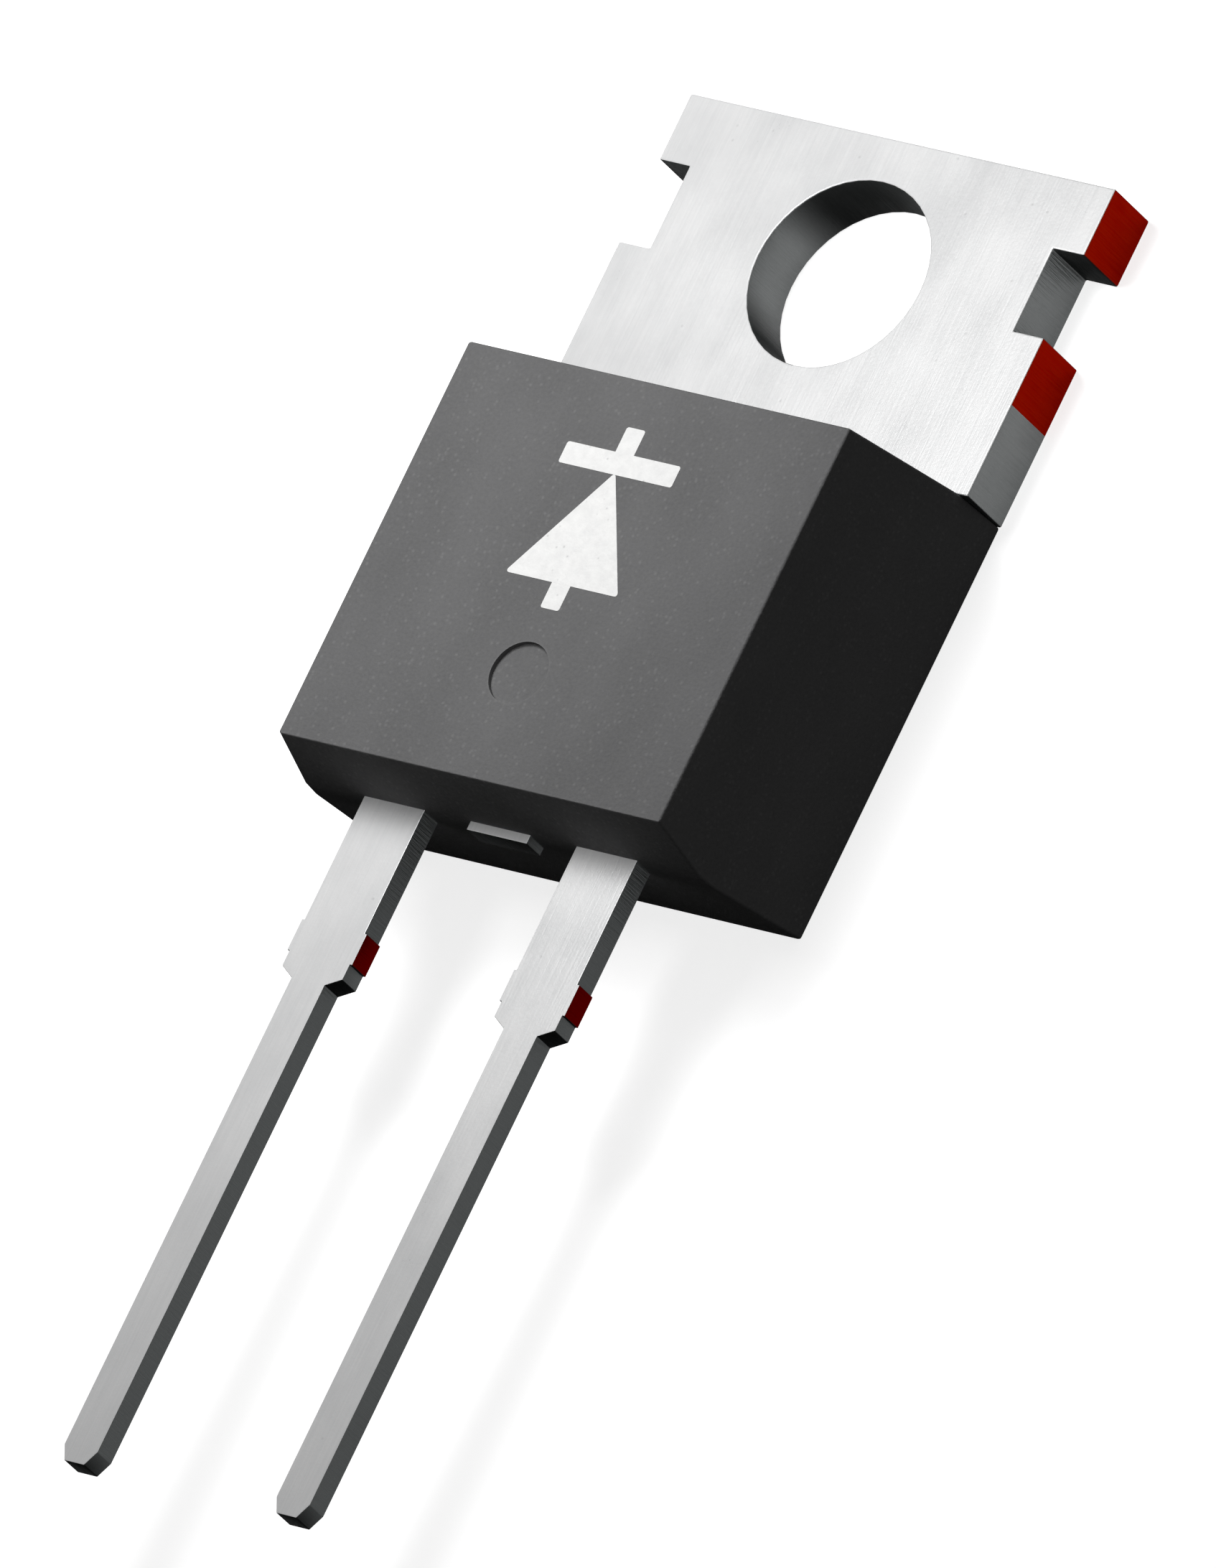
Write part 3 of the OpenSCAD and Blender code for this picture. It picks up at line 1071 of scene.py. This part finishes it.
@dataclass
class Studio:
    """A pale floor, a soft lamp above the tab, a small one above the leads and a pale surround.

    The surround lights the part most from surround_turn, in degrees from +Y towards +X.
    """

    floor_reach: float = 600.0
    floor_drop: float = 0.005
    floor_glow: float = 0.8
    floor_paint: float = 0.8
    floor_bounce: float = 0.08
    surround_turn: float = 35.0
    surround_near: float = 0.0
    surround_far: float = 0.17
    ceiling: float = 0.8
    ceiling_rise: Range = (0.3, 0.8)
    key: Lamp = Lamp("key", (-6.0, 2.0, 31.0), (-1.0, -2.0, 2.0), 13.0, 13.4)
    lead_light: Lamp = Lamp("lead_light", (-2.0, -11.5, 15.0), (-2.0, -11.5, 0.0), 3.0, 7.6)

    def backdrop_seen(self, bench: NodeBench) -> bpy.types.NodeSocket:
        """Adds the test for rays that show the backdrop: from the camera, off a gloss or through glass.

        Args:
            bench: Bench of the floor's or the world's tree.

        Returns:
            The socket with the result, 1 for such a ray.
        """
        path = bench.add("ShaderNodeLightPath").outputs
        mirrored = bench.math("MAXIMUM", path["Is Glossy Ray"], path["Is Transmission Ray"])
        return bench.math("MAXIMUM", path["Is Camera Ray"], mirrored)

    def build_floor(self) -> bpy.types.Object:
        """Builds the floor just under the part.

        Returns:
            The floor.
        """
        mesh = bpy.data.meshes.new("floor")
        reach, drop = self.floor_reach * MM, -self.floor_drop * MM
        around = ((-reach, -reach), (reach, -reach), (reach, reach), (-reach, reach))
        corners = [(x, y, drop) for x, y in around]
        mesh.from_pydata(corners, [], [(0, 1, 2, 3)])
        floor = bpy.data.objects.new("floor", mesh)
        bpy.context.scene.collection.objects.link(floor)
        mesh.materials.append(self.floor_material())
        return floor

    def floor_material(self) -> bpy.types.Material:
        """Builds the floor's finish: white where seen, with the part's shadow, and dim as a light.

        Returns:
            The material.
        """
        material = bpy.data.materials.new("pale_floor")
        material.use_nodes = True
        material.node_tree.nodes.clear()
        bench = NodeBench(material.node_tree)
        paint = (self.floor_paint,) * 3
        bounce = (self.floor_bounce,) * 3
        seen = bench.add("ShaderNodeBsdfDiffuse", {"Color": opaque(paint)})
        glow = bench.add("ShaderNodeEmission", {"Color": WHITE, "Strength": self.floor_glow})
        lit = bench.add("ShaderNodeAddShader", {0: seen.outputs[0], 1: glow.outputs[0]})
        plain = bench.add("ShaderNodeBsdfDiffuse", {"Color": opaque(bounce)})
        either = bench.add(
            "ShaderNodeMixShader", {0: self.backdrop_seen(bench), 1: plain.outputs[0], 2: lit.outputs[0]}
        )
        bench.add("ShaderNodeOutputMaterial", {"Surface": either.outputs[0]})
        return material

    def build_surround(self) -> None:
        """Builds the world: white near the horizon and greyer overhead where seen, dim as a light.

        As a light it rises from surround_near to surround_far towards surround_turn.
        """
        world = bpy.data.worlds.new("surround")
        bpy.context.scene.world = world
        world.use_nodes = True
        world.node_tree.nodes.clear()
        bench = NodeBench(world.node_tree)
        place = bench.add("ShaderNodeTexCoord").outputs["Generated"]
        way = bench.add("ShaderNodeSeparateXYZ", {0: place}).outputs
        low, high = self.ceiling_rise
        overhead = bench.add(
            "ShaderNodeMapRange",
            {"Value": way["Z"], "From Min": low, "From Max": high},
            interpolation_type="SMOOTHSTEP",
        )
        ceiling = (self.ceiling,) * 3
        colour = bench.mix_colour(overhead.outputs[0], WHITE, opaque(ceiling))
        shown = bench.add("ShaderNodeBackground", {"Color": colour, "Strength": 1.0})
        turn = math.radians(self.surround_turn)
        across = bench.math("MULTIPLY", way["X"], math.sin(turn))
        along = bench.math("MULTIPLY", way["Y"], math.cos(turn))
        towards = bench.math("MULTIPLY_ADD", bench.math("ADD", across, along), 0.5, clamp=True)
        towards.node.inputs[2].default_value = 0.5
        dim = bench.spread(towards, self.surround_near, self.surround_far)
        light = bench.add("ShaderNodeBackground", {"Color": WHITE, "Strength": dim})
        either = bench.add(
            "ShaderNodeMixShader",
            {0: self.backdrop_seen(bench), 1: light.outputs[0], 2: shown.outputs[0]},
        )
        bench.add("ShaderNodeOutputWorld", {"Surface": either.outputs[0]})

    def build(self) -> list[bpy.types.Object]:
        """Builds floor, surround and lamps.

        Returns:
            The floor and the lamps.
        """
        self.build_surround()
        return [self.build_floor(), self.key.build(), self.lead_light.build()]


@dataclass
class ProductCamera:
    """A long lens from the lead end and above, turned so that the part lies across the upright frame."""

    azimuth: float = 67.296
    elevation: float = 47.27
    roll: float = -47.041
    aim: Colour = (0.37, -10.629, 1.26)
    frame_height: float = 28.459
    lens: float = 1200.0
    sensor: float = 36.0
    clip: Range = (0.1, 4.0)

    def build(self) -> bpy.types.Object:
        """Builds the camera and makes it the scene's own.

        Returns:
            The camera.
        """
        turn, rise = math.radians(self.azimuth), math.radians(self.elevation)
        back = Vector(
            (math.sin(turn) * math.cos(rise), -math.cos(turn) * math.cos(rise), math.sin(rise))
        )
        distance = self.frame_height * self.lens / self.sensor
        data = bpy.data.cameras.new("camera")
        data.lens = self.lens
        data.sensor_width = self.sensor
        data.clip_start, data.clip_end = (share * distance * MM for share in self.clip)
        camera = bpy.data.objects.new("camera", data)
        bpy.context.scene.collection.objects.link(camera)
        camera.location = (Vector(self.aim) + back * distance) * MM
        camera.rotation_mode = "QUATERNION"
        upright = (-back).to_track_quat("-Z", "Y")
        camera.rotation_quaternion = Quaternion(back, math.radians(self.roll)) @ upright
        bpy.context.scene.camera = camera
        return camera


def report(pieces: list[bpy.types.Object]) -> None:
    """Logs the name and face count of each piece.

    Args:
        pieces: The pieces, among them lamps, which have no faces.
    """
    for piece in pieces:
        count = len(piece.data.polygons) if piece.type == "MESH" else 0
        log.info("%s: %d faces", piece.name, count)


def frame_finishes(shop: Workshop) -> dict[Finish, bpy.types.Material]:
    """Builds the lead frame's finishes: tin plate, greys for cut edges and bare copper, with darker
    copies of the grey and the red as painted shade on the leads.

    Args:
        shop: The shared effects.

    Returns:
        Each finish's material.
    """
    cut_grey = ((0.235, 0.245, 0.245), (0.155, 0.163, 0.163), (0.062, 0.066, 0.066))
    # Painted shade: a darker, less glossy copy of the cut grey for the thin leads' cut sides.
    shade_painted_grey = ((0.113, 0.12, 0.12), (0.077, 0.082, 0.082), (0.03, 0.032, 0.032))
    bright_red = ((0.2, 0.008, 0.001), (0.14, 0.005, 0.001), (0.14, 0.005, 0.001))
    # Painted shade: a darker copy of the bright red for the dam bars' trimmed ends.
    shade_painted_red = ((0.066, 0.001, 0.0), (0.045, 0.0, 0.0), (0.045, 0.0, 0.0))
    red_tint = (0.9, 0.1, 0.04)
    cuts = (
        CutEdge(Finish.STAMPED.value, *cut_grey, metal=0.6, rough=0.5),
        CutEdge(Finish.SHEARED.value, *bright_red, metal=1.0, rough=0.42, tint=red_tint),
        CutEdge(Finish.TRIMMED.value, *shade_painted_red, metal=1.0, rough=0.42, tint=red_tint),
        CutEdge(Finish.SLIT.value, *shade_painted_grey, metal=0.6, rough=0.5, gloss=0.1),
    )
    finishes = {Finish.PLATED: TinPlate().build(shop)}
    for cut in cuts:
        finishes[Finish(cut.name)] = cut.build(shop)
    return finishes


def inner_finishes(shop: Workshop) -> dict[str, bpy.types.Material]:
    """Builds the finishes of the pieces that are sealed inside the body.

    Args:
        shop: The shared effects.

    Returns:
        Node name to material.
    """
    wire = InnerMetal("bond_aluminium", (0.92, 0.92, 0.94), (0.8, 0.8, 0.82), (12.0, 2.0, 12.0), 0.3)
    silicon = InnerMetal("silicon", (0.36, 0.39, 0.48), (0.32, 0.35, 0.44), (2.0, 2.0, 2.0), 0.25)
    solder = InnerMetal("soft_solder", (0.62, 0.63, 0.65), (0.5, 0.51, 0.53), (9.0, 9.0, 9.0), 0.4)
    drawn = wire.build(shop)
    return {
        "schottky_die": silicon.build(shop),
        "die_solder": solder.build(shop),
        "bond_wire_1": drawn,
        "bond_wire_2": drawn,
    }


def main() -> None:
    """Builds the looks in order: finishes, lead frame, body, symbol, inner pieces, studio, camera."""
    logging.basicConfig(level=logging.INFO, format="%(message)s")
    bpy.context.scene.view_settings.view_transform = "Standard"
    shop = Workshop()
    report(LeadFrame().build(frame_finishes(shop)))
    report([MouldedBody().build(MouldedEpoxy().build(shop))])
    report([PrintedSymbol().build(PrintedInk().build(shop))])
    report(SealedPieces().dress(inner_finishes(shop)))
    report(Studio().build())
    ProductCamera().build()


if __name__ == "__main__":
    main()
